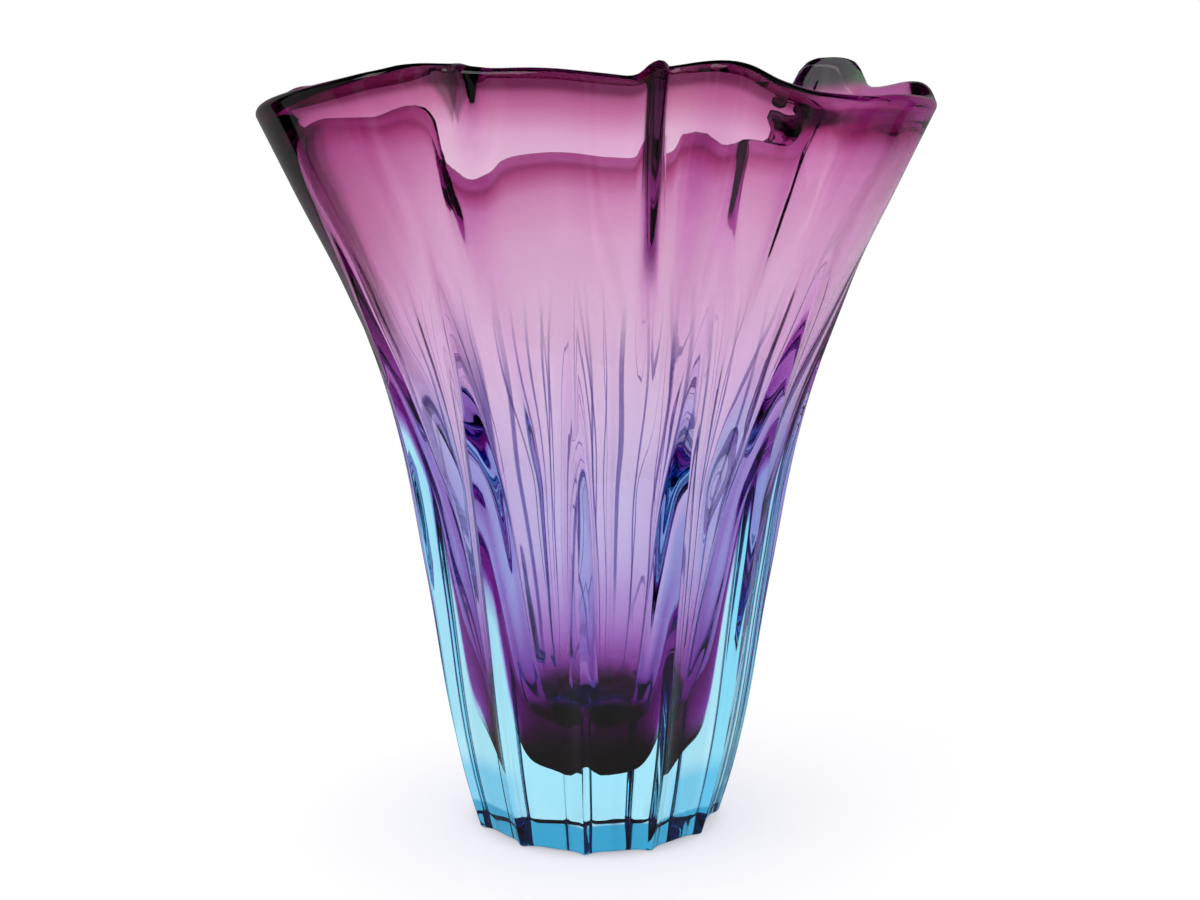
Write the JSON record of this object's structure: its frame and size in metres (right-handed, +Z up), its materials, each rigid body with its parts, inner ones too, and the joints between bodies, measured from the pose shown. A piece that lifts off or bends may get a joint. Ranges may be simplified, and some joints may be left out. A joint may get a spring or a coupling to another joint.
{
  "type": "fan vase",
  "caption": "Hand-blown cased glass fan vase: ribbed aquamarine casing over an amethyst core, round ribbed foot, flared flattened mouth with a folded and ruffled rim",
  "frame": {"origin": "middle of the flat ground foot, on the surface the vase stands on", "axes": "+Z up the axis of the foot to the rim, +X across the wide way of the fan to the right as seen from the front, +Y to the back across the narrow way"},
  "size_m": [0.2352, 0.1517, 0.2803],
  "materials": {
    "aquamarine_glass": "fire polished clear pale aquamarine, ground flat under the foot",
    "amethyst_glass": "fire polished clear amethyst, violet in the body and rosy at the rim"
  },
  "bodies": {
    "root": {"aquamarine_casing": "aquamarine_glass", "amethyst_core": "amethyst_glass"}
  },
  "joints": []
}
